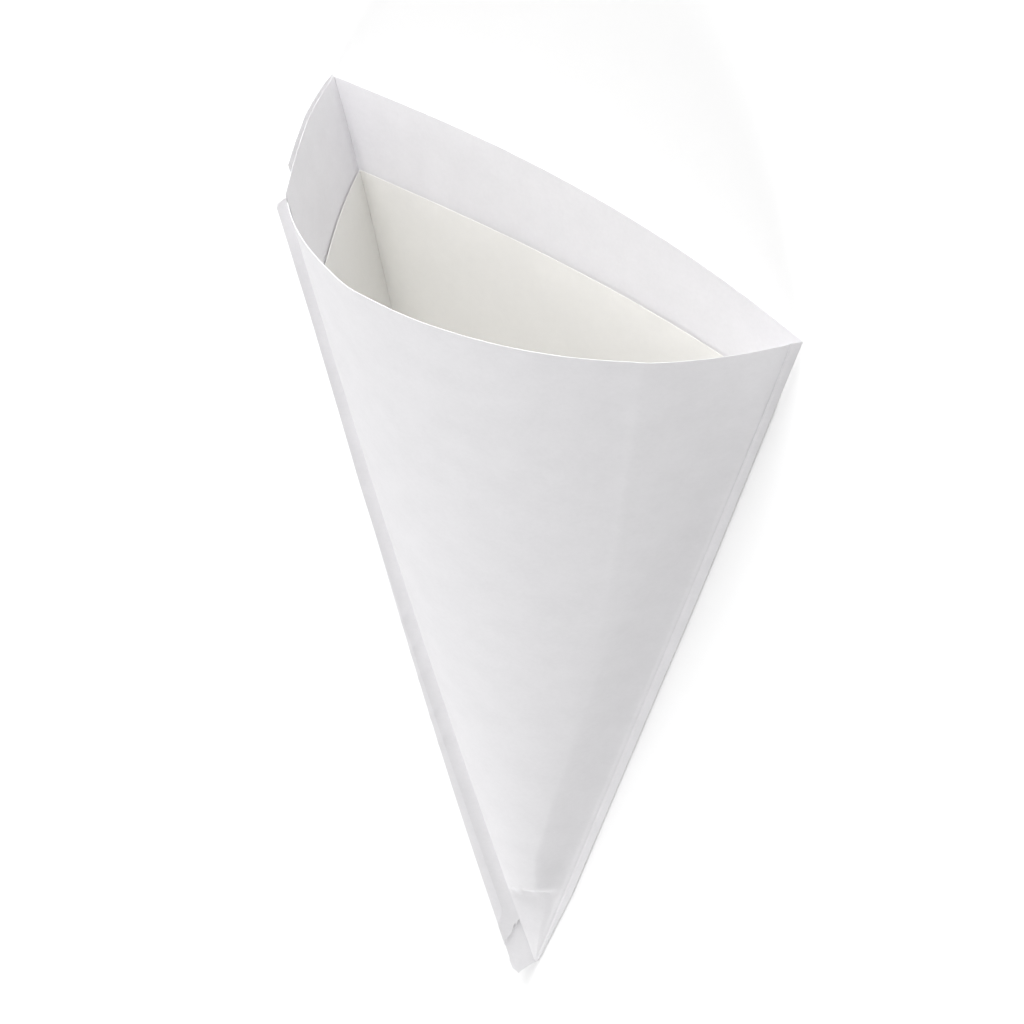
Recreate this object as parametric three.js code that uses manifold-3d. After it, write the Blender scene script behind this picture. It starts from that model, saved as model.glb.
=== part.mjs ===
// Paper cone bag, lying on its flat back panel with the mouth open.
// An outer sheet is folded into a pointed bag: a flat back, a narrow side panel on the left and
// an arched front. Its glued margins stand out as a fin along the left fold and as a narrow seam
// along the right fold, and a flap laps over the outside of the side panel. A thinner liner of
// greaseproof paper lies inside and stops short of the rim.
// Millimetres, +Z up, +Y from the tip toward the mouth, +X toward the right seam.
// The origin is on the underside of the back panel, below the middle of the bag.

import * as THREE from 'three';
import { LoftGeometry } from 'three/addons/geometries/LoftGeometry.js';
import { mergeVertices } from 'three/addons/utils/BufferGeometryUtils.js';
import Module from 'manifold-3d';

// Length along the folds, from the tip to the rim, and the place of the origin from the tip
const SLANT = 280;
const REST_DISTANCE = 150;

// Mouth section, as x and z where the folds are MOUTH_RUN from the tip
const MOUTH_RUN = 266.5;
const BACK_HALF_WIDTH = 85.7;
const LEFT_FOLD_X = -41;
const LEFT_FOLD_HEIGHT = 54.2;
const ARCH_LEFT_HANDLE = { x: 3.7, z: 87 };
const ARCH_RIGHT_HANDLE = { x: 69, z: 58.5 };
const LEFT_FOLD_BOW = 1.9;

// Paper
const PAPER = 0.3;
const LINER_PAPER = 0.2;
const PLY_GAP = 0.3;
const GLUE_DEPTH = 0.1;

// Cut edge: distances from the tip that shape the back's rim, and the side panel's extra length
const BACK_RIM_LEFT_HANDLE = 270;
const BACK_RIM_RIGHT_HANDLE = 275;
const SIDE_RIM_RISE = 2.5;

// Right seam, a glued margin that is steep at the mouth and lies flat at the tip
const SEAM_WIDTH = 3.6;
const SEAM_STEEPNESS = 0.95;

// Left fin: a wide ply and, on its inner face, a narrower one that ends short of the tip
const FIN_DIRECTION = THREE.MathUtils.degToRad(132);
const FIN_WIDTH_AT_RIM = 2.85;
const FIN_WIDTH_AT_TIP = 6.7;
const FIN_RIM_HANDLE = 1.5;
const FIN_TIP_HANDLE = 6.5;
const FIN_COVER_AT_TIP = 4.1;
const FIN_COVER_MARGIN = 0.2;
const FIN_COVER_END_AT_FOLD = 15;
const FIN_COVER_END_AT_EDGE = 9;
const FIN_ROOT = 0.2;

// Flap over the outside of the side panel
const FLAP_SHARE = 0.86;
const FLAP_RISE = 3.2;
const FLAP_ROOT = 0.6;

// Sealed tip, where the arch is pressed flat
const SEAL_LENGTH = 21;
const SEAL_STEP = 4;
const SEAL_FLATNESS = 0.8;
const TIP_CUT = 1.2;
const FLOOR_GAP = 0.5;

// Liner: how far its edge lies below the rim, and how far its back bows off the outer sheet
const LINER_DROP_SIDE = 30;
const LINER_DROP_LEFT = 26;
const LINER_DROP_RIGHT = 20;
const LINER_BOW = 2.5;

// Fineness
const BACK_STEPS = 14;
const ARCH_STEPS = 28;
const SIDE_STEPS = 6;
const LENGTH_STEPS = 6;

const wasm = await Module();
wasm.setup();

const mix = THREE.MathUtils.lerp;

function cubic(a, b, c, d, t) {
  const u = 1 - t;
  return a * u ** 3 + 3 * b * u * u * t + 3 * c * u * t * t + d * t ** 3;
}

const plies = 2 * PAPER;
const creaseX = BACK_HALF_WIDTH - SEAM_WIDTH * Math.sqrt(1 - SEAM_STEEPNESS ** 2);
const creaseHeight = SEAM_WIDTH * SEAM_STEEPNESS;
const finAlong = new THREE.Vector3(Math.cos(FIN_DIRECTION), 0, Math.sin(FIN_DIRECTION));
const finAcross = new THREE.Vector3(finAlong.z, 0, -finAlong.x);

// The stations go round the bag: along the back from left to right, up the seam, over the arch
// and down the side panel. t runs from 0 to 1 along each panel
function stationList() {
  const list = [];
  for (let i = 0; i <= BACK_STEPS; i++) {
    list.push({ panel: 'back', t: i / BACK_STEPS });
  }
  list.push({ panel: 'seam', t: 0 });
  for (let i = 0; i <= ARCH_STEPS; i++) {
    list.push({ panel: 'arch', t: i / ARCH_STEPS });
  }
  for (let i = 1; i < SIDE_STEPS; i++) {
    list.push({ panel: 'side', t: i / SIDE_STEPS });
  }
  return list;
}

const stations = stationList();

// Where a station's line from the tip crosses the plane y = MOUTH_RUN
function mouthPoint({ panel, t }) {
  if (panel === 'back') {
    return { x: mix(-BACK_HALF_WIDTH, creaseX, t), z: 0 };
  }
  if (panel === 'seam') {
    return { x: creaseX, z: 0 };
  }
  if (panel === 'arch') {
    return {
      x: cubic(creaseX, ARCH_RIGHT_HANDLE.x, ARCH_LEFT_HANDLE.x, LEFT_FOLD_X, t),
      z: cubic(creaseHeight, ARCH_RIGHT_HANDLE.z, ARCH_LEFT_HANDLE.z, LEFT_FOLD_HEIGHT, t),
    };
  }
  return { x: mix(LEFT_FOLD_X, -BACK_HALF_WIDTH, t), z: mix(LEFT_FOLD_HEIGHT, 0, t) };
}

// Distance from the tip to the outer sheet's cut edge
function rimDistance({ panel, t }) {
  if (panel === 'back') {
    return cubic(SLANT, BACK_RIM_LEFT_HANDLE, BACK_RIM_RIGHT_HANDLE, SLANT, t);
  }
  if (panel === 'side') {
    return SLANT + SIDE_RIM_RISE * Math.min(1, 2 * (1 - t));
  }
  return SLANT;
}

// Distance from the tip to the liner's cut edge
function linerDistance(station) {
  const { panel, t } = station;
  if (panel === 'back') {
    return rimDistance(station) - mix(LINER_DROP_LEFT, LINER_DROP_RIGHT, t);
  }
  if (panel === 'arch') {
    return SLANT - mix(LINER_DROP_RIGHT, LINER_DROP_SIDE, t);
  }
  if (panel === 'side') {
    return SLANT - mix(LINER_DROP_SIDE, LINER_DROP_LEFT, t);
  }
  return SLANT - LINER_DROP_RIGHT;
}

// A station's point on the outer face, at a distance from the tip
function facePoint(station, distance) {
  const { panel, t } = station;
  const flat = mouthPoint(station);
  const share = distance / SLANT;
  const point = new THREE.Vector3(flat.x, MOUTH_RUN, flat.z).setLength(distance);
  const bow = LEFT_FOLD_BOW * Math.sin(Math.PI * Math.min(share, 1));
  if (panel === 'arch') {
    const sealed = THREE.MathUtils.clamp((SEAL_LENGTH - distance) / SEAL_STEP, 0, 1);
    const chord = mix(creaseHeight, LEFT_FOLD_HEIGHT, (creaseX - flat.x) / (creaseX - LEFT_FOLD_X));
    point.z *= mix(1, chord / flat.z, SEAL_FLATNESS * sealed);
    point.z += plies;
    point.addScaledVector(finAlong, bow * t * t);
  }
  if (panel === 'side') {
    point.z += plies * (1 - t);
    point.addScaledVector(finAlong, bow * (1 - t));
  }
  return point;
}

// The seam's outer edge, a fixed width out from the crease
function seamEdge(distance, height) {
  const point = facePoint({ panel: 'seam', t: 0 }, distance);
  point.x += SEAM_WIDTH * Math.sqrt(1 - (SEAM_STEEPNESS * Math.min(distance / SLANT, 1)) ** 2);
  point.z += height;
  return point;
}

// One closed ring of points on the bag's outer face
function outerRing(distanceOf) {
  return stations.map((station) => {
    const distance = distanceOf(station);
    if (station.panel === 'seam') {
      return seamEdge(distance, plies);
    }
    if (station.panel === 'back' && station.t === 1) {
      return seamEdge(distance, 0);
    }
    return facePoint(station, distance);
  });
}

// Inward direction at a corner, long enough to move both of its sides by 1
function mitre(before, corner, after) {
  const first = new THREE.Vector3(before.z - corner.z, 0, corner.x - before.x).normalize();
  const second = new THREE.Vector3(corner.z - after.z, 0, after.x - corner.x).normalize();
  const scale = 1 / (1 + first.dot(second));
  return first.add(second).multiplyScalar(scale);
}

// One closed ring inside the bag, an inset away from the outer face. The seam is solid, so the
// ring turns up at its crease. bow lifts the back panel's middle at the rim
function innerRing(distanceOf, inset, bow = 0) {
  const face = stations.map((station) => {
    const point = facePoint(station, distanceOf(station));
    if (station.panel === 'seam') {
      point.z = facePoint({ panel: 'arch', t: 0 }, distanceOf(station)).z / 2;
    }
    return point;
  });
  const corner = BACK_STEPS;
  const count = face.length;
  const ring = face.map((point, i) => {
    const inward = mitre(face[(i + count - 1) % count], point, face[(i + 1) % count]);
    return point.clone().addScaledVector(inward, inset);
  });
  for (const i of [corner + 1, corner + 2]) {
    ring[i].z = Math.max(ring[i].z, ring[corner].z + (i - corner) * PAPER / 10);
  }
  stations.forEach((station, i) => {
    if (station.panel === 'back') {
      ring[i].z += bow * Math.sin(Math.PI * station.t) * distanceOf(station) / SLANT;
    }
  });
  return ring;
}

// Closed solid with the surface of a loft, less the triangles that have shrunk to a line
function solidOf(sections, options) {
  const surface = new THREE.BufferGeometry().copy(new LoftGeometry(sections, options));
  surface.deleteAttribute('normal');
  surface.deleteAttribute('uv');
  const { index, attributes } = mergeVertices(surface, 1e-6);
  const triangles = [];
  for (let i = 0; i < index.count; i += 3) {
    const [a, b, c] = [0, 1, 2].map((k) => index.getX(i + k));
    if (a !== b && b !== c && c !== a) {
      triangles.push(a, b, c);
    }
  }
  return new wasm.Manifold(new wasm.Mesh({
    numProp: 3,
    vertProperties: attributes.position.array,
    triVerts: new Uint32Array(triangles),
  }));
}

const capped = { closed: true, capStart: true, capEnd: true };

function meshOf(solid, name, color, roughness) {
  const { vertProperties, triVerts } = solid.getMesh();
  const geometry = new THREE.BufferGeometry();
  geometry.setAttribute('position', new THREE.BufferAttribute(new Float32Array(vertProperties), 3));
  geometry.setIndex(new THREE.BufferAttribute(new Uint32Array(triVerts), 1));
  geometry.computeVertexNormals();
  const mesh = new THREE.Mesh(
    geometry,
    new THREE.MeshStandardMaterial({ color, roughness, metalness: 0 }),
  );
  mesh.name = name;
  return mesh;
}

// Shares of the length, from 0 to 1 in equal steps
const steps = Array.from({ length: LENGTH_STEPS + 1 }, (_, i) => i / LENGTH_STEPS);

function middleOf(ring) {
  const sum = ring.reduce((total, point) => total.add(point), new THREE.Vector3());
  return sum.divideScalar(ring.length);
}

// A shell closed at the bottom. Its lengthwise section runs up the outside from the tip, over
// the edge and down the inside to the floor, and is swept once round the bag
function sheetBody(edgeOf, floor, thickness, outer, inner, tipRings) {
  const outside = steps.map((k) => outer((s) => mix(floor, edgeOf(s), k)));
  const inside = steps.map((k) => inner((s) => mix(edgeOf(s), floor + thickness, k)));
  const rings = [...tipRings, ...outside, ...inside];
  const start = middleOf(rings[0]);
  const end = middleOf(rings[rings.length - 1]);
  const sections = stations.map((_, i) => [start, ...rings.map((ring) => ring[i]), end]);
  return solidOf([...sections, sections[0]], { closed: true });
}

function outerSheet() {
  const tipRings = [TIP_CUT, SEAL_LENGTH - SEAL_STEP].map((d) => outerRing(() => d));
  const inner = (distanceOf) => innerRing(distanceOf, PAPER);
  return sheetBody(rimDistance, SEAL_LENGTH, 0, outerRing, inner, tipRings);
}

function linerSheet() {
  const outerInset = PAPER + PLY_GAP;
  const outer = (distanceOf) => innerRing(distanceOf, outerInset, LINER_BOW);
  const inner = (distanceOf) => innerRing(distanceOf, outerInset + LINER_PAPER, LINER_BOW);
  return sheetBody(linerDistance, SEAL_LENGTH + FLOOR_GAP, LINER_PAPER, outer, inner, []);
}

// A point of the fin, out from the left fold by width and across its face by depth
function finPoint(distance, width, depth) {
  const fold = facePoint({ panel: 'arch', t: 1 }, distance);
  return fold.addScaledVector(finAlong, width).addScaledVector(finAcross, depth);
}

function finPly(widthAt, near, far, endAtFold, endAtEdge) {
  return solidOf(steps.map((k) => {
    const fold = mix(SLANT, endAtFold, k);
    const edge = mix(SLANT, endAtEdge, k);
    const width = widthAt(edge / SLANT);
    return [
      finPoint(fold, -FIN_ROOT, near),
      finPoint(fold, -FIN_ROOT, far),
      finPoint(edge, width, far),
      finPoint(edge, width, near),
    ];
  }), capped);
}

function leftFin() {
  const wide = (share) => {
    return cubic(FIN_WIDTH_AT_TIP, FIN_TIP_HANDLE, FIN_RIM_HANDLE, FIN_WIDTH_AT_RIM, share);
  };
  const narrow = (share) => {
    const taper = mix(FIN_COVER_AT_TIP, FIN_WIDTH_AT_RIM, share);
    return Math.min(wide(share) - FIN_COVER_MARGIN, taper);
  };
  const widePly = finPly(wide, -PAPER, 0, TIP_CUT, 0);
  const narrowPly = finPly(narrow, -GLUE_DEPTH, PAPER, FIN_COVER_END_AT_FOLD, FIN_COVER_END_AT_EDGE);
  return widePly.add(narrowPly);
}

// The flap lies on the side panel's outer face, from near the back fold to its free edge
function sideFlap() {
  const free = { panel: 'side', t: 1 - FLAP_SHARE };
  const rings = steps.map((k) => {
    const back = facePoint({ panel: 'back', t: 0 }, mix(SLANT, SEAL_LENGTH, k));
    const edge = facePoint(free, mix(rimDistance(free) + FLAP_RISE, SEAL_LENGTH, k));
    const rise = new THREE.Vector3(edge.x - back.x, 0, edge.z - back.z).normalize();
    const outward = new THREE.Vector3(-rise.z, 0, rise.x);
    back.addScaledVector(rise, FLAP_ROOT);
    return [
      back.clone().addScaledVector(outward, -GLUE_DEPTH),
      edge.clone().addScaledVector(outward, -GLUE_DEPTH),
      edge.clone().addScaledVector(outward, PAPER),
      back.clone().addScaledVector(outward, PAPER),
    ];
  });
  return solidOf(rings, capped);
}

const bag = new THREE.Group();
bag.position.y = -REST_DISTANCE;
bag.add(meshOf(outerSheet().add(leftFin()).add(sideFlap()), 'outer_sheet', '#e9e7ec', 0.85));
bag.add(meshOf(linerSheet(), 'greaseproof_liner', '#efeee6', 0.6));

export default bag;
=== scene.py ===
"""Paper cone bag with a greaseproof liner, lying on its flat back panel.

Metres, +Z up, +Y from the tip toward the mouth, +X toward the narrow right seam.
Every sheet of paper starts as a flat grid whose columns are then folded round the bag."""

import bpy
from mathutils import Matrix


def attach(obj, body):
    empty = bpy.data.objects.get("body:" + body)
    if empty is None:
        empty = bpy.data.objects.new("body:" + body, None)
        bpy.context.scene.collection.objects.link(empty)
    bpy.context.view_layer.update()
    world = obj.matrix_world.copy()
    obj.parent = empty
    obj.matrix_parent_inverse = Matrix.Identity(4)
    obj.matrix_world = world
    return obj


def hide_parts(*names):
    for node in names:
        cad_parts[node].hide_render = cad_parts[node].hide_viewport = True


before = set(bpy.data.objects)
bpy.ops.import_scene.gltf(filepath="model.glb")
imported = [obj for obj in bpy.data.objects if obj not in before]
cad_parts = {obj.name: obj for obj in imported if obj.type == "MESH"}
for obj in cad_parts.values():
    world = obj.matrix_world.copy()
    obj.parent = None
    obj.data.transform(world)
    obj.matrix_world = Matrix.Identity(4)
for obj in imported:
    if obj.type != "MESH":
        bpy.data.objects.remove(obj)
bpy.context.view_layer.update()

import math

import bmesh
import bpy
from bpy.props import FloatProperty, FloatVectorProperty, IntProperty, PointerProperty
from mathutils import Matrix, Vector, noise

bl_info = {
    "name": "Paper Cone Bag",
    "version": (1, 0, 0),
    "blender": (4, 5, 0),
    "location": "3D View > Sidebar > Cone Bag",
    "description": "Builds a folded paper cone bag with a greaseproof liner",
    "category": "Add Mesh",
}


def linear(code):
    """An sRGB hex colour as linear red, green and blue."""
    shares = [int(code[i:i + 2], 16) / 255 for i in (1, 3, 5)]
    return [c / 12.92 if c <= 0.04045 else ((c + 0.055) / 1.055) ** 2.4 for c in shares]


def length(name, description, default):
    return FloatProperty(name=name, description=description, default=default, unit="LENGTH", precision=5)


def colour(name, description, code):
    return FloatVectorProperty(
        name=name, description=description, default=linear(code), subtype="COLOR", min=0, max=1)


class ConeBagSizes(bpy.types.PropertyGroup):
    """Sizes of the folded bag"""

    slant: length("Slant", "Length along the folds, from the tip to the rim", 0.280)
    rest_distance: length("Origin from Tip", "How far the origin lies from the tip", 0.150)
    mouth_run: length("Mouth Run", "Where the mouth section stands, from the tip", 0.2665)
    back_half_width: length("Back Half Width", "Half the back panel's width at the mouth", 0.0857)
    left_fold_x: length("Left Fold Side", "Left front fold, across the bag", -0.0410)
    left_fold_height: length("Left Fold Height", "Left front fold, above the back", 0.0542)
    left_handle_x: length("Arch Left Handle Side", "Pulls the arch near the left fold", 0.0037)
    left_handle_z: length("Arch Left Handle Height", "Pulls the arch near the left fold", 0.0870)
    right_handle_x: length("Arch Right Handle Side", "Pulls the arch near the seam", 0.0690)
    right_handle_z: length("Arch Right Handle Height", "Pulls the arch near the seam", 0.0585)
    left_fold_bow: length("Left Fold Bow", "How far the left fold bulges at mid-length", 0.0019)
    paper: length("Ply", "Room that one ply of white paper takes in the folded bag", 0.0003)
    wall: length("White Paper Wall", "Thickness of the white paper, measured straight up", 0.00018)
    liner_paper: length("Liner Wall", "Thickness of the greaseproof paper", 0.00009)
    ply_gap: length("Ply Gap", "Air between the white paper and the liner", 0.0003)
    rim_left_handle: length("Back Rim Left", "Pulls the back's cut edge down on the left", 0.270)
    rim_right_handle: length("Back Rim Right", "Pulls the back's cut edge down on the right", 0.275)
    side_rim_rise: length("Side Rim Rise", "How far the side panel's edge stands up", 0.0025)
    seam_width: length("Seam Width", "Glued margin along the right fold", 0.0036)
    seam_steepness: FloatProperty(
        name="Seam Steepness", description="Sine of the seam's slope at the mouth", default=0.95)
    fin_direction: FloatProperty(
        name="Fin Direction", description="Where the left fin points",
        default=math.radians(140), subtype="ANGLE")
    fin_at_rim: length("Fin at Rim", "Width of the left fin at the rim", 0.00330)
    fin_at_tip: length("Fin at Tip", "Width of the left fin at the tip", 0.0076)
    fin_rim_handle: length("Fin Rim Handle", "Pulls the fin's width near the rim", 0.0020)
    fin_tip_handle: length("Fin Tip Handle", "Pulls the fin's width near the tip", 0.0072)
    cover_at_tip: length("Cover at Tip", "Width of the fin's narrow ply at the tip", 0.0041)
    cover_margin: length("Cover Margin", "The narrow ply stays inside the wide one by this", 0.0002)
    cover_end_at_fold: length("Cover End at Fold", "Where the narrow ply ends, at the fold", 0.0195)
    cover_end_at_edge: length("Cover End at Edge", "Where the narrow ply ends, at its edge", 0.0083)
    cover_flare_end: length("Cover Flare", "Where the narrow ply starts to widen, from the tip", 0.023)
    cover_flare: length("Cover Flare Length", "How long it takes to widen", 0.008)
    cover_wide_margin: length(
        "Cover Wide Margin", "The widened ply stays inside the wide one by this", 0.0004)
    fin_overhang: length("Fin Overhang", "How far the wide ply runs past the tip", 0.0049)
    fin_corner: length("Fin Corner", "How far its outer corner runs past the tip", 0.0033)
    flap_share: FloatProperty(
        name="Flap Share", description="How much of the side panel the flap covers", default=0.86)
    flap_rise: length("Flap Rise", "How far the flap stands above the side panel's edge", 0.0024)
    flap_start: length("Flap Start", "How far the flap stands above the back fold", 0.0008)
    flap_root: length("Flap Root", "Where the flap starts, up from the back fold", 0.0006)
    seal_length: length("Seal", "Length of the tip that is pressed flat", 0.0328)
    seal_slant: length("Seal Slant", "How much longer the pressed tip is at the seam", 0.0057)
    seal_bulge: length("Seal Bulge", "How much longer it is midway", 0.0022)
    seal_step: length("Seal Step", "Length over which the arch becomes flat", 0.003)
    seal_flatness: FloatProperty(
        name="Seal Flatness", description="How flat the sealed tip is", default=0.92)
    tip_cut: length("Tip Cut", "Where the panels end at the tip", 0.0012)
    floor_gap: length("Liner Floor Gap", "From the seal to the liner's closed end", 0.0005)
    liner_drop_side: length("Liner Drop at Left Fold", "From the rim to the liner's edge", 0.030)
    liner_drop_left: length("Liner Drop at Back Left", "From the rim to the liner's edge", 0.026)
    liner_drop_right: length("Liner Drop at Seam", "From the rim to the liner's edge", 0.020)
    fold_tuck: length("Back Fold Tuck", "How far the back's left fold is drawn in below the rim", 0.0023)
    tuck_depth: length("Tuck Depth", "How fast the back's left fold is drawn in", 0.020)
    crease_at_tip: length("Crease at Tip", "Height of the seam's crease at the tip", 0.0010)
    crease_gain: length("Crease Gain", "How much the crease gains in height toward the mouth", 0.0006)
    crease_lift: length("Crease Lift", "How much higher the crease stands at the rim", 0.0013)
    flare: length("Seam Flare", "How far in from the seam the front lies down flat", 0.0075)
    crease_blend: length("Crease Blend", "How far in from the seam the crease lowers the front", 0.010)
    strip: length("Strip", "How far the seam's cut edge lies out from the crease", 0.0022)
    strip_at_tip: length("Strip at Tip", "The same at the tip", 0.0003)
    strip_taper: length("Strip Taper", "Where the strip reaches its full width, from the tip", 0.038)
    strip_at_rim: length("Strip at Rim", "The same at the rim", 0.0012)
    groove: length("Seam Groove", "Depth of the groove along the seam's crease", 0.00035)
    groove_width: length("Groove Width", "Half the width of that groove", 0.0004)
    liner_bow: length("Liner Bow", "How far the liner's back stands off the white paper", 0.0025)


class ConeBagLooks(bpy.types.PropertyGroup):
    """Colours, lamps and fineness"""

    white_paper: colour("White Paper", "Colour of the outer sheet", "#f0eff1")
    greaseproof: colour("Greaseproof", "Colour of the liner", "#faf9f6")
    floor: colour("Floor", "Colour of the floor", "#f2f2f2")
    floor_glow: FloatProperty(
        name="Floor Glow", description="Lifts the floor to white where the camera sees it", default=0.12)
    sky: FloatProperty(name="Sky", description="Strength of the light from all round", default=0.25)
    mouth_lamp: FloatProperty(
        name="Mouth Lamp", description="Power of the lamp that faces the mouth", default=85, unit="POWER")
    high_lamp: FloatProperty(
        name="High Lamp", description="Power of the lamp high over the mouth", default=11, unit="POWER")
    tip_lamp: FloatProperty(
        name="Tip Lamp", description="Power of the lamp beyond the tip", default=56, unit="POWER")
    left_lamp: FloatProperty(
        name="Left Lamp", description="Power of the lamp high on the left", default=11, unit="POWER")
    side_lamp: FloatProperty(
        name="Side Lamp", description="Power of the lamp low on the left", default=5, unit="POWER")
    rows: IntProperty(name="Rows", description="Steps along the bag", default=140, min=20)
    columns: IntProperty(name="Columns", description="Steps across the arch", default=110, min=20)


# Folds sharper than this keep a hard edge
FOLD_ANGLE = math.radians(28)

# The flare beside the seam takes at most these shares of the front's width, and a width of zero
# counts as NO_SPAN
BLEND_SHARE = 0.6
FLARE_SHARE = 0.3
NO_SPAN = 1e-6

# From this share of the length the seam's strip stands up toward the rim
STEEP_FROM = 0.6

# How much of the strip's width the back's margin fills under it, and how high the strip's cut
# edge lies, in wall thicknesses
UNDER_STRIP = 0.7
STRIP_EDGE_HEIGHT = 1.5

# The liner's front stays this high, less its inset, where the front lies down on the back
LINER_LEAST = 0.0014

# The sharpest corner of the liner is drawn in no further than this allows
LEAST_TURN = 0.2

# Grid steps across each panel. The arch has finer ones beside the seam, given as shares of it
NEAR_CREASE = [0.0015 * k for k in range(11)]
ARCH_START = 0.018
STRIP_STEPS = 14
MARGIN_STEPS = 4
BACK_STEPS = 60
SIDE_STEPS = 36
LINER_SIDE_STEPS = 30
FIN_STEPS = 10
FLAP_STEPS = 24

# Small folds of the front. The kinks at the rim have their place and width as shares across the
# arch, and the faint crease leans from one place at the rim to another at the tip
RIPPLE_HEIGHT = 0.0005
RIPPLES_ACROSS = 5.0
RIPPLES_PER_METRE = 7
KINK_HEIGHT = 0.0008
LEFT_KINK = (0.74, 0.05)
RIGHT_KINK = (0.20, 0.04)
RIGHT_KINK_SHARE = 0.7
FAINT_CREASE_HEIGHT = 0.00035
FAINT_CREASE_WIDTH = 0.011
FAINT_CREASE_AT_TIP = 0.175
FAINT_CREASE_AT_RIM = 0.225

# The front's edge on the fin: its height on the wide ply, in plies, up to where, and the step up
EDGE_ON_BASE = -0.3
EDGE_DOWN = 0.010
EDGE_STEP = 0.008

# A soft ridge of the front that runs beside the seam's crease
RIDGE_HEIGHT = 0.00012
RIDGE_AWAY = 0.0026
RIDGE_WIDTH = 0.0011

# Cross folds on the fin, as distances from the tip, how much they lean, and fine streaks
FIN_FOLDS = (0.097, 0.107, 0.121, 0.131, 0.142)
FIN_FOLD_WIDTH = 0.0016
FIN_FOLD_LEAN = 1.4
FIN_FOLD_HEIGHT = 0.00022
FIN_STREAK_HEIGHT = 0.00010
FIN_STREAKS_ACROSS = 90
FIN_STREAKS_ALONG = 70

# The fin's edges: how far past the rim it ends at the fold and at its edge, where the end at the
# tip starts and turns, how fast it narrows there, how ragged it is and how far the plies part
FIN_PAST_RIM = (0.0015, -0.0013)
FIN_START = 0.0002
FIN_TURN = 0.8
FIN_NARROWING = 0.35
RAGGED = 0.0016
COVER_PART = 0.0004
BASE_PART = -0.0005


def mix(a, b, t):
    return a + (b - a) * t


def cubic(a, b, c, d, t):
    u = 1 - t
    return a * u ** 3 + 3 * b * u * u * t + 3 * c * u * t * t + d * t ** 3


def clamp(value):
    return min(1.0, max(0.0, value))


def smooth(value):
    value = clamp(value)
    return value * value * (3 - 2 * value)


def plies(s):
    return 2 * s.paper


def crease(s):
    """Side place and height of the right crease at the mouth."""
    level = math.sqrt(1 - s.seam_steepness ** 2)
    return s.back_half_width - s.seam_width * level, s.seam_width * s.seam_steepness


def fin_along(s):
    return Vector((math.cos(s.fin_direction), 0, math.sin(s.fin_direction)))


def fin_across(s):
    along = fin_along(s)
    return Vector((along.z, 0, -along.x))


def mouth_point(s, panel, t):
    """Where a column's line from the tip crosses the mouth section."""
    crease_x, crease_z = crease(s)
    if panel == "back":
        return mix(-s.back_half_width, crease_x, t), 0.0
    if panel == "arch":
        return (cubic(crease_x, s.right_handle_x, s.left_handle_x, s.left_fold_x, t),
                cubic(crease_z, s.right_handle_z, s.left_handle_z, s.left_fold_height, t))
    return mix(s.left_fold_x, -s.back_half_width, t), mix(s.left_fold_height, 0.0, t)


def rim_distance(s, panel, t):
    if panel == "back":
        return cubic(s.slant, s.rim_left_handle, s.rim_right_handle, s.slant, t)
    if panel == "side":
        return s.slant + s.side_rim_rise * min(1, 2 * (1 - t))
    return s.slant


def liner_distance(s, panel, t):
    if panel == "back":
        return rim_distance(s, panel, t) - mix(s.liner_drop_left, s.liner_drop_right, t)
    if panel == "arch":
        return s.slant - mix(s.liner_drop_right, s.liner_drop_side, t)
    return s.slant - mix(s.liner_drop_side, s.liner_drop_left, t)


def face_point(s, panel, t, distance):
    """A point on the lower face of the folded white paper, measured from the tip."""
    x, z = mouth_point(s, panel, t)
    point = Vector((x, s.mouth_run, z)).normalized() * distance
    bow = s.left_fold_bow * math.sin(math.pi * min(distance / s.slant, 1))
    if panel == "arch":
        crease_x, crease_z = crease(s)
        reach = s.seal_length + s.seal_slant * (1 - t) + s.seal_bulge * 4 * t * (1 - t)
        sealed = clamp((reach - distance) / s.seal_step)
        chord = mix(crease_z, s.left_fold_height, (crease_x - x) / (crease_x - s.left_fold_x))
        point.z *= mix(1, chord / z, s.seal_flatness * sealed)
        point.z = flared(s, point, distance) + plies(s)
        point += fin_along(s) * bow * t * t
    if panel == "side":
        point.z += plies(s) * (1 - t)
        point += fin_along(s) * bow * (1 - t)
        point.x += tuck(s, distance) * t * t
    if panel == "back":
        point.x += tuck(s, distance) * (1 - t) ** 3
    return point


def flared(s, point, distance):
    """Height of an arch point once the front lies down flat beside the seam's crease."""
    share = min(distance / s.slant, 1)
    crease_x, crease_z = crease(s)
    start = Vector((crease_x, s.mouth_run, crease_z)).normalized() * distance
    inward = start.x - point.x
    span = max(NO_SPAN, (crease_x - s.left_fold_x) * share)
    level = s.crease_at_tip + s.crease_gain * share ** 2 + s.crease_lift * share ** 12 - plies(s)
    drop = (start.z - level) * (1 - smooth(inward / min(s.crease_blend, BLEND_SHARE * span)))
    rise = (point.z - start.z) * mix(smooth(inward / min(s.flare, FLARE_SHARE * span)), 1, share ** 8)
    return start.z - drop + rise


def tuck(s, distance):
    """How far the back's left fold is drawn in, nothing at the rim and at the tip."""
    depth = max(0.0, s.slant - distance)
    return s.fold_tuck * (1 - math.exp(-depth / s.tuck_depth)) * distance / s.slant


def seam_reach(s, distance):
    """How far the seam's cut edge lies out from its crease, seen from above."""
    width = mix(s.strip_at_tip, s.strip, clamp(distance / s.strip_taper))
    return mix(width, s.strip_at_rim, smooth((distance / s.slant - STEEP_FROM) / (1 - STEEP_FROM)))


def bump_line(value, centre, width):
    """A smooth ridge of height 1 at the centre."""
    return math.exp(-((value - centre) / width) ** 2)


def shares(count):
    return [i / count for i in range(count + 1)]


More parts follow.
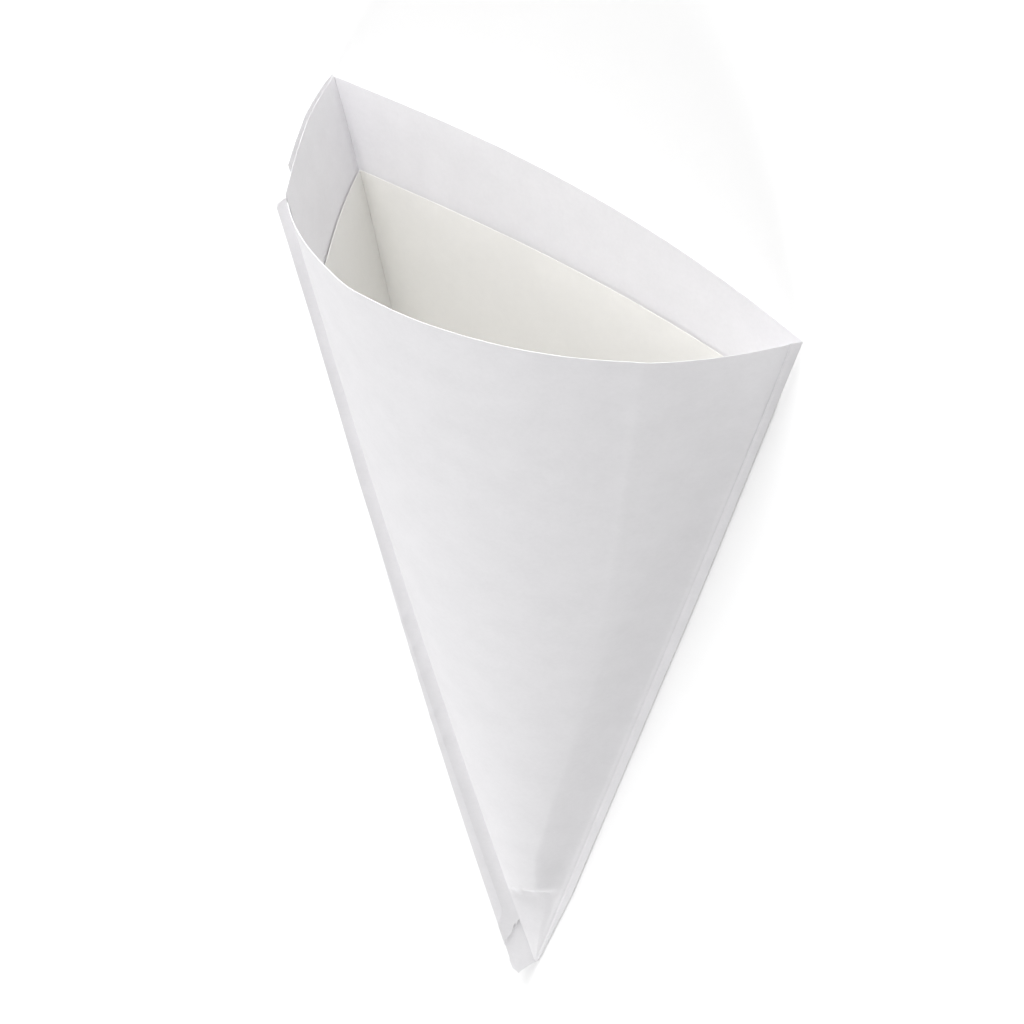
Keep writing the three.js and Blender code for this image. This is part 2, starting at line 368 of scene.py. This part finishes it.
def grid_piece(name, columns, rows, place, finish):
    """A flat grid whose points are put in place, column by column, then finished as a closed shell."""
    bm = bmesh.new()
    last = len(columns) - 1
    bmesh.ops.create_grid(bm, x_segments=last, y_segments=rows, size=0.5)
    for vert in bm.verts:
        column = columns[round((vert.co.x + 0.5) * last)]
        vert.co = place(column, round((vert.co.y + 0.5) * rows))
    finish(bm)
    for face in bm.faces:
        face.smooth = True
    for edge in bm.edges:
        edge.smooth = edge.calc_face_angle(0) < FOLD_ANGLE
    mesh = bpy.data.meshes.new(name)
    bm.to_mesh(mesh)
    bm.free()
    piece = bpy.data.objects.new(name, mesh)
    bpy.context.scene.collection.objects.link(piece)
    return piece


def sheet(name, columns, rows, place, thickness):
    """A sheet of paper. place takes a column and a share of the length.

    The wall is set off straight up from the placed points, so it is thinner where the sheet is
    steep, and it lies on the outer side of every panel but the back."""
    def finish(bm):
        bmesh.ops.solidify(bm, geom=bm.faces[:], thickness=-thickness)
        bmesh.ops.recalc_face_normals(bm, faces=bm.faces)
    return grid_piece(name, columns, rows, lambda column, row: place(column, row / rows), finish)


def add_node(tree, kind, inputs=None, **settings):
    """Adds a node, sets its own settings, and gives each input a value or a link."""
    node = tree.nodes.new(kind)
    for key, value in settings.items():
        setattr(node, key, value)
    for key, value in (inputs or {}).items():
        if isinstance(value, bpy.types.NodeSocket):
            tree.links.new(value, node.inputs[key])
        else:
            node.inputs[key].default_value = value
    return node


def background_rays(tree):
    """1 for rays from the camera, from a reflection or through a sheet, otherwise 0."""
    path = add_node(tree, "ShaderNodeLightPath")
    either = add_node(tree, "ShaderNodeMath", {
        0: path.outputs["Is Camera Ray"], 1: path.outputs["Is Glossy Ray"]}, operation="MAXIMUM")
    return add_node(tree, "ShaderNodeMath", {
        0: either.outputs[0], 1: path.outputs["Is Transmission Ray"]}, operation="MAXIMUM").outputs[0]


def new_material(name):
    material = bpy.data.materials.get(name) or bpy.data.materials.new(name)
    material.use_nodes = True
    material.node_tree.nodes.clear()
    return material


def paper_material(name, base, darkest, cloud_size, fibre_size, cloud_depth, bump, roughness, through):
    """Matt paper: pale clouds where the pulp is uneven, and fine fibres that roughen the surface.

    Sizes are in metres. darkest is the share of the colour left in the clouds, through the share
    of the light that passes the sheet."""
    material = new_material(name)
    tree = material.node_tree
    place = add_node(tree, "ShaderNodeTexCoord").outputs["Object"]
    clouds = add_node(tree, "ShaderNodeTexNoise", {
        "Vector": place, "Scale": 1 / cloud_size, "Detail": 3.0, "Roughness": 0.6})
    fibres = add_node(tree, "ShaderNodeTexNoise", {
        "Vector": place, "Scale": 1 / fibre_size, "Detail": 2.0, "Roughness": 0.7})
    both = add_node(tree, "ShaderNodeMix", {
        "Factor": 0.4, "A": clouds.outputs["Fac"], "B": fibres.outputs["Fac"]}, data_type="FLOAT")
    depth = add_node(tree, "ShaderNodeMapRange", {
        "Value": both.outputs["Result"], "From Min": 0.35, "From Max": 0.65,
        "To Min": 0.0, "To Max": cloud_depth})
    tint = add_node(tree, "ShaderNodeMix", data_type="RGBA")
    tree.links.new(depth.outputs["Result"], tint.inputs[0])
    tint.inputs[6].default_value = (*base, 1)
    tint.inputs[7].default_value = (*(c * darkest for c in base), 1)
    relief = add_node(tree, "ShaderNodeBump", {
        "Height": both.outputs["Result"], "Strength": 1.0, "Distance": bump})
    front = add_node(tree, "ShaderNodeBsdfPrincipled", {
        "Base Color": tint.outputs[2], "Roughness": roughness, "Specular IOR Level": 0.3,
        "Normal": relief.outputs["Normal"]})
    behind = add_node(tree, "ShaderNodeBsdfTranslucent", {
        "Color": tint.outputs[2], "Normal": relief.outputs["Normal"]})
    both_ways = add_node(tree, "ShaderNodeMixShader", {
        0: through, 1: front.outputs["BSDF"], 2: behind.outputs["BSDF"]})
    add_node(tree, "ShaderNodeOutputMaterial", {"Surface": both_ways.outputs["Shader"]})
    return material


def white_paper():
    """White bag paper: faintly violet, matt, with soft clouds of pulp about a centimetre wide."""
    return paper_material(
        "white_bag_paper", bpy.context.scene.cone_bag_looks.white_paper, darkest=0.93, cloud_size=0.010,
        fibre_size=0.0012, cloud_depth=0.6, bump=0.00004, roughness=0.85, through=0.08)


def greaseproof_paper():
    """Greaseproof paper: cream, smoother than the bag, with fainter clouds."""
    return paper_material(
        "greaseproof_paper", bpy.context.scene.cone_bag_looks.greaseproof, darkest=0.94, cloud_size=0.014,
        fibre_size=0.002, cloud_depth=0.5, bump=0.00003, roughness=0.6, through=0.2)


def dress(piece, material, node):
    piece.data.materials.append(material)
    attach(piece, "root")
    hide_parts(node)


def shift(s, point):
    return Vector((point.x, point.y - s.rest_distance, point.z))


class MESH_OT_cone_bag_front(bpy.types.Operator):
    """Make the arched front panel and its glued margin on the right"""

    bl_idname = "mesh.cone_bag_front"
    bl_label = "Front Panel"

    def execute(self, context):
        s = context.scene.cone_bag_sizes
        looks = context.scene.cone_bag_looks
        arch = NEAR_CREASE + [mix(ARCH_START, 1, k) for k in shares(looks.columns)]
        columns = [("arch", k) for k in reversed(arch)]
        columns += [("seam", k) for k in shares(STRIP_STEPS)[1:]]
        lift = fin_across(s) * s.paper

        def over_fin(distance):
            """The front's edge lies on the fin's narrow ply and, below its end, on the wide one."""
            return mix(EDGE_ON_BASE, 1, smooth((distance - EDGE_DOWN) / EDGE_STEP))

        def faint_crease(t, share):
            place = mix(FAINT_CREASE_AT_TIP, FAINT_CREASE_AT_RIM, share)
            return bump_line(t, place, FAINT_CREASE_WIDTH) * smooth((share - 0.5) * 3)

        def place(column, share):
            panel, t = column
            distance = mix(s.tip_cut, s.slant, share)
            start = face_point(s, "arch", 0, distance)
            slope = s.seam_steepness * share
            outward = Vector((slope, 0, math.sqrt(1 - slope * slope)))
            if panel == "arch":
                point = face_point(s, "arch", t, distance) + lift * t ** 8 * over_fin(distance)
                away = (point - start).length
                ripple = noise.noise(Vector((t * RIPPLES_ACROSS, distance * RIPPLES_PER_METRE, 4.2)))
                kinks = bump_line(t, *LEFT_KINK) + RIGHT_KINK_SHARE * bump_line(t, *RIGHT_KINK)
                point.z += RIPPLE_HEIGHT * 4 * t * (1 - t) * ripple * share
                point.z += KINK_HEIGHT * kinks * share ** 4
                point.z += FAINT_CREASE_HEIGHT * faint_crease(t, share)
                ridge = RIDGE_HEIGHT * bump_line(away, RIDGE_AWAY, RIDGE_WIDTH) * smooth(share * 4)
            else:
                end = Vector((start.x + seam_reach(s, distance), start.y, STRIP_EDGE_HEIGHT * s.wall))
                point = start.lerp(end, t)
                away = (point - start).length
                ridge = 0
            return shift(s, point + outward * (ridge - s.groove * bump_line(away, 0, s.groove_width)))

        piece = sheet("front_panel", columns, looks.rows, place, s.wall)
        dress(piece, white_paper(), "outer_sheet")
        return {"FINISHED"}


class MESH_OT_cone_bag_back(bpy.types.Operator):
    """Make the flat back panel, its margin under the seam and the left side panel"""

    bl_idname = "mesh.cone_bag_back"
    bl_label = "Back and Side Panels"

    def execute(self, context):
        s = context.scene.cone_bag_sizes
        looks = context.scene.cone_bag_looks
        columns = [("seam", k) for k in shares(MARGIN_STEPS)[:-1]]
        columns += [("back", 1 - t) for t in shares(BACK_STEPS)]
        columns += [("side", 1 - t) for t in shares(SIDE_STEPS)[1:]]
        drop = fin_across(s) * -s.paper

        def place(column, share):
            panel, t = column
            if panel == "seam":
                distance = mix(s.tip_cut, rim_distance(s, "back", 1), share)
                start = face_point(s, "back", 1, distance)
                return shift(s, start + Vector((UNDER_STRIP * seam_reach(s, distance) * (1 - t), 0, 0)))
            distance = mix(s.tip_cut, rim_distance(s, panel, t), share)
            point = face_point(s, panel, t, distance)
            if panel == "side":
                point += drop * (1 - t) ** 8
            return shift(s, point)

        piece = sheet("back_panel", columns, looks.rows, place, s.wall)
        dress(piece, white_paper(), "outer_sheet")
        return {"FINISHED"}


class MESH_OT_cone_bag_fin(bpy.types.Operator):
    """Make the two glued plies that stand out along the left fold"""

    bl_idname = "mesh.cone_bag_fin"
    bl_label = "Left Fin"

    def execute(self, context):
        s = context.scene.cone_bag_sizes
        looks = context.scene.cone_bag_looks
        along = fin_along(s)
        across = fin_across(s)

        def wide(share):
            return cubic(s.fin_at_tip, s.fin_tip_handle, s.fin_rim_handle, s.fin_at_rim, share)

        def narrow(share):
            taper = min(wide(share) - s.cover_margin, mix(s.cover_at_tip, s.fin_at_rim, share))
            flare = smooth((s.cover_flare_end - share * s.slant) / s.cover_flare)
            return mix(taper, wide(share) - s.cover_wide_margin, flare)

        def wrinkle(width, distance):
            streaks = noise.noise(Vector((width * FIN_STREAKS_ACROSS, distance * FIN_STREAKS_ALONG, 1.5)))
            leaning = distance + FIN_FOLD_LEAN * width
            folds = sum(bump_line(leaning, where, FIN_FOLD_WIDTH) for where in FIN_FOLDS)
            return FIN_STREAK_HEIGHT * streaks + FIN_FOLD_HEIGHT * folds

        def wide_end(t):
            if t < FIN_TURN:
                return mix(FIN_START, -s.fin_overhang, t / FIN_TURN)
            return mix(-s.fin_overhang, -s.fin_corner, (t - FIN_TURN) / (1 - FIN_TURN))

        def narrow_end(t):
            ragged = RAGGED * noise.noise(Vector((t * 9, 0.3, 7.7)))
            return mix(s.cover_end_at_fold, s.cover_end_at_edge, t) + ragged

        def ply(name, width_at, end_at, depth, turn, part):
            def place(across_share, share):
                t = 1 - across_share if turn else across_share
                distance = mix(end_at(t), s.slant + mix(*FIN_PAST_RIM, t), share)
                inside = max(distance, 0.0)
                width = (width_at(inside / s.slant) + FIN_NARROWING * min(distance, 0.0)) * t
                fold = face_point(s, "arch", 1, inside) + Vector((0, distance - inside, 0))
                height = depth + part * t * t + wrinkle(width, distance) * t
                return shift(s, fold + along * width + across * height)
            return sheet(name, shares(FIN_STEPS), looks.rows * 2, place, s.wall)

        cover = ply("fin_narrow_ply", narrow, narrow_end, s.paper, True, COVER_PART)
        base = ply("fin_wide_ply", wide, wide_end, -s.paper, False, BASE_PART)
        for piece in (cover, base):
            dress(piece, white_paper(), "outer_sheet")
        return {"FINISHED"}


class MESH_OT_cone_bag_flap(bpy.types.Operator):
    """Make the flap that laps over the outside of the side panel"""

    bl_idname = "mesh.cone_bag_flap"
    bl_label = "Side Flap"

    def execute(self, context):
        s = context.scene.cone_bag_sizes
        looks = context.scene.cone_bag_looks
        root = s.flap_root / s.left_fold_height

        def place(t, share):
            across = 1 - mix(root, s.flap_share, t)
            rise = mix(s.flap_start, s.flap_rise, t)
            distance = mix(s.seal_length, rim_distance(s, "side", across) + rise, share)
            point = face_point(s, "side", across, distance)
            upper = face_point(s, "side", across - 0.01, distance)
            along = Vector((upper.x - point.x, 0, upper.z - point.z)).normalized()
            return shift(s, point + Vector((-along.z, 0, along.x)) * s.wall)

        piece = sheet("side_flap", shares(FLAP_STEPS), looks.rows, place, s.wall)
        dress(piece, white_paper(), "outer_sheet")
        return {"FINISHED"}


def liner_columns(count):
    columns = [("back", 1 - t) for t in shares(BACK_STEPS)]
    columns += [("side", 1 - t) for t in shares(LINER_SIDE_STEPS)[1:-1]]
    columns += [("arch", 1 - t) for t in shares(count)]
    return columns


class MESH_OT_cone_bag_liner(bpy.types.Operator):
    """Make the greaseproof liner inside the bag"""

    bl_idname = "mesh.cone_bag_liner"
    bl_label = "Greaseproof Liner"

    def execute(self, context):
        s = context.scene.cone_bag_sizes
        looks = context.scene.cone_bag_looks
        columns = liner_columns(looks.columns)
        floor = s.seal_length + s.floor_gap
        inset = s.paper + s.ply_gap
        outside = [liner_ring(s, columns, floor, inset, k) for k in shares(looks.rows)]
        floor += s.liner_paper
        inside = [liner_ring(s, columns, floor, inset + s.liner_paper, k) for k in shares(looks.rows)]
        rings = outside + inside[::-1]

        def place(index, row):
            return shift(s, rings[row][index])

        def finish(bm):
            bmesh.ops.remove_doubles(bm, verts=bm.verts, dist=1e-7)
            bmesh.ops.holes_fill(bm, edges=bm.edges, sides=0)
            bmesh.ops.recalc_face_normals(bm, faces=bm.faces)

        order = list(range(len(columns))) + [0]
        piece = grid_piece("liner", order, len(rings) - 1, place, finish)
        dress(piece, greaseproof_paper(), "greaseproof_liner")
        return {"FINISHED"}


def liner_ring(s, columns, floor, inset, share):
    """One ring of the liner, an inset away from the white paper's lower face."""
    face = []
    for panel, t in columns:
        face.append(face_point(s, panel, t, mix(floor, liner_distance(s, panel, t), share)))
    count = len(face)
    ring = []
    for i, (panel, t) in enumerate(columns):
        before, corner, after = face[i - 1], face[i], face[(i + 1) % count]
        first = Vector((corner.z - before.z, 0, before.x - corner.x)).normalized()
        second = Vector((after.z - corner.z, 0, corner.x - after.x)).normalized()
        point = corner + (first + second) * (inset / max(1 + first.dot(second), LEAST_TURN))
        if panel == "back":
            point.z += s.liner_bow * math.sin(math.pi * t) * share
        if panel == "side":
            point.z = max(point.z, inset)
        if panel == "arch":
            point.z = max(point.z, LINER_LEAST - inset)
        ring.append(point)
    return ring


# Stage: half the floor's side, how far it lies below the bag, and the lamps
FLOOR_HALF = 1.5
FLOOR_DROP = 0.0001
WHITE = (1, 1, 1, 1)
LAMP_WIDTH = 1.4
LAMP_TARGET = Vector((0, 0, 0.03))
LAMP_PLACES = {
    "mouth_lamp": Vector((0.0, 2.5, 0.8)),
    "high_lamp": Vector((0.0, 1.7, 2.3)),
    "tip_lamp": Vector((0.0, -2.4, 1.3)),
    "left_lamp": Vector((-1.6, 0.8, 2.2)),
    "side_lamp": Vector((-2.5, 0.3, 0.9)),
}


def lamp(name, power):
    """A round soft lamp, turned to the bag."""
    data = bpy.data.lights.new(name, "AREA")
    data.energy = power
    data.shape = "DISK"
    data.size = LAMP_WIDTH
    lamp_object = bpy.data.objects.new(name, data)
    lamp_object.location = LAMP_PLACES[name]
    lamp_object.rotation_euler = (LAMP_TARGET - LAMP_PLACES[name]).to_track_quat("-Z", "Y").to_euler()
    bpy.context.scene.collection.objects.link(lamp_object)


class SCENE_OT_cone_bag_stage(bpy.types.Operator):
    """Set the white floor, the soft lamps and the camera"""

    bl_idname = "scene.cone_bag_stage"
    bl_label = "Floor, Lamps and Camera"

    def execute(self, context):
        looks = context.scene.cone_bag_looks
        bm = bmesh.new()
        bmesh.ops.create_grid(bm, x_segments=1, y_segments=1, size=FLOOR_HALF)
        mesh = bpy.data.meshes.new("floor")
        bm.to_mesh(mesh)
        bm.free()
        floor = bpy.data.objects.new("floor", mesh)
        floor.data.transform(Matrix.Translation((0, 0, -FLOOR_DROP)))
        context.scene.collection.objects.link(floor)
        material = new_material("floor_white")
        tree = material.node_tree
        matt = add_node(tree, "ShaderNodeBsdfDiffuse", {"Color": (*looks.floor, 1)})
        lift = add_node(tree, "ShaderNodeMath", {
            0: background_rays(tree), 1: looks.floor_glow}, operation="MULTIPLY")
        glow = add_node(tree, "ShaderNodeEmission", {"Strength": lift.outputs[0]})
        both = add_node(tree, "ShaderNodeAddShader", {0: matt.outputs[0], 1: glow.outputs[0]})
        add_node(tree, "ShaderNodeOutputMaterial", {"Surface": both.outputs[0]})
        floor.data.materials.append(material)

        world = bpy.data.worlds.new("studio")
        world.use_nodes = True
        world.node_tree.nodes.clear()
        light = add_node(world.node_tree, "ShaderNodeBackground", {"Color": WHITE, "Strength": looks.sky})
        seen = add_node(world.node_tree, "ShaderNodeBackground", {"Color": WHITE, "Strength": 1.0})
        choice = add_node(world.node_tree, "ShaderNodeMixShader", {
            0: background_rays(world.node_tree), 1: light.outputs[0], 2: seen.outputs[0]})
        add_node(world.node_tree, "ShaderNodeOutputWorld", {"Surface": choice.outputs[0]})
        context.scene.world = world

        for name in LAMP_PLACES:
            lamp(name, getattr(looks, name))
        place_camera(context.scene)
        context.scene.view_settings.view_transform = "Standard"
        return {"FINISHED"}


# The camera's place, and its azimuth, elevation and roll
CAMERA_PLACE = Vector((0.6342, 0.6993, 0.6468))
CAMERA_TURN = (math.radians(136.79), math.radians(34.32), math.radians(240.22))
CAMERA_ANGLE = math.radians(14)
SENSOR_WIDTH = 36


def place_camera(scene):
    """A long lens that looks into the mouth from the right, rolled so that the tip points down."""
    azimuth, elevation, roll = CAMERA_TURN
    level_share = math.cos(elevation)
    back = Vector((math.sin(azimuth) * level_share, -math.cos(azimuth) * level_share, math.sin(elevation)))
    level = Vector((0, 0, 1)).cross(back).normalized()
    upright = back.cross(level)
    right = level * math.cos(roll) + upright * math.sin(roll)
    up = upright * math.cos(roll) - level * math.sin(roll)
    data = bpy.data.cameras.new("camera")
    data.sensor_width = SENSOR_WIDTH
    data.lens = SENSOR_WIDTH / 2 / math.tan(CAMERA_ANGLE / 2)
    camera = bpy.data.objects.new("camera", data)
    turn = Matrix((right, up, back)).transposed().to_4x4()
    camera.matrix_world = Matrix.Translation(CAMERA_PLACE) @ turn
    scene.collection.objects.link(camera)
    scene.camera = camera


class VIEW3D_PT_cone_bag(bpy.types.Panel):
    """Lists the pieces of the bag"""

    bl_idname = "VIEW3D_PT_cone_bag"
    bl_label = "Cone Bag"
    bl_space_type = "VIEW_3D"
    bl_region_type = "UI"
    bl_category = "Cone Bag"

    def draw(self, context):
        for step in STEPS:
            self.layout.operator(step)
        for group in (context.scene.cone_bag_sizes, context.scene.cone_bag_looks):
            box = self.layout.box()
            for key in group.bl_rna.properties.keys():
                if key not in ("rna_type", "name"):
                    box.prop(group, key)


STEPS = (
    "mesh.cone_bag_front", "mesh.cone_bag_back", "mesh.cone_bag_fin", "mesh.cone_bag_flap",
    "mesh.cone_bag_liner", "scene.cone_bag_stage",
)

CLASSES = (
    ConeBagSizes, ConeBagLooks, MESH_OT_cone_bag_front, MESH_OT_cone_bag_back, MESH_OT_cone_bag_fin,
    MESH_OT_cone_bag_flap, MESH_OT_cone_bag_liner, SCENE_OT_cone_bag_stage, VIEW3D_PT_cone_bag,
)


def register():
    for cls in CLASSES:
        bpy.utils.register_class(cls)
    bpy.types.Scene.cone_bag_sizes = PointerProperty(type=ConeBagSizes)
    bpy.types.Scene.cone_bag_looks = PointerProperty(type=ConeBagLooks)


def unregister():
    del bpy.types.Scene.cone_bag_looks
    del bpy.types.Scene.cone_bag_sizes
    for cls in reversed(CLASSES):
        bpy.utils.unregister_class(cls)


def main():
    register()
    for step in STEPS:
        group, name = step.split(".")
        getattr(getattr(bpy.ops, group), name)()


if __name__ == "__main__":
    main()
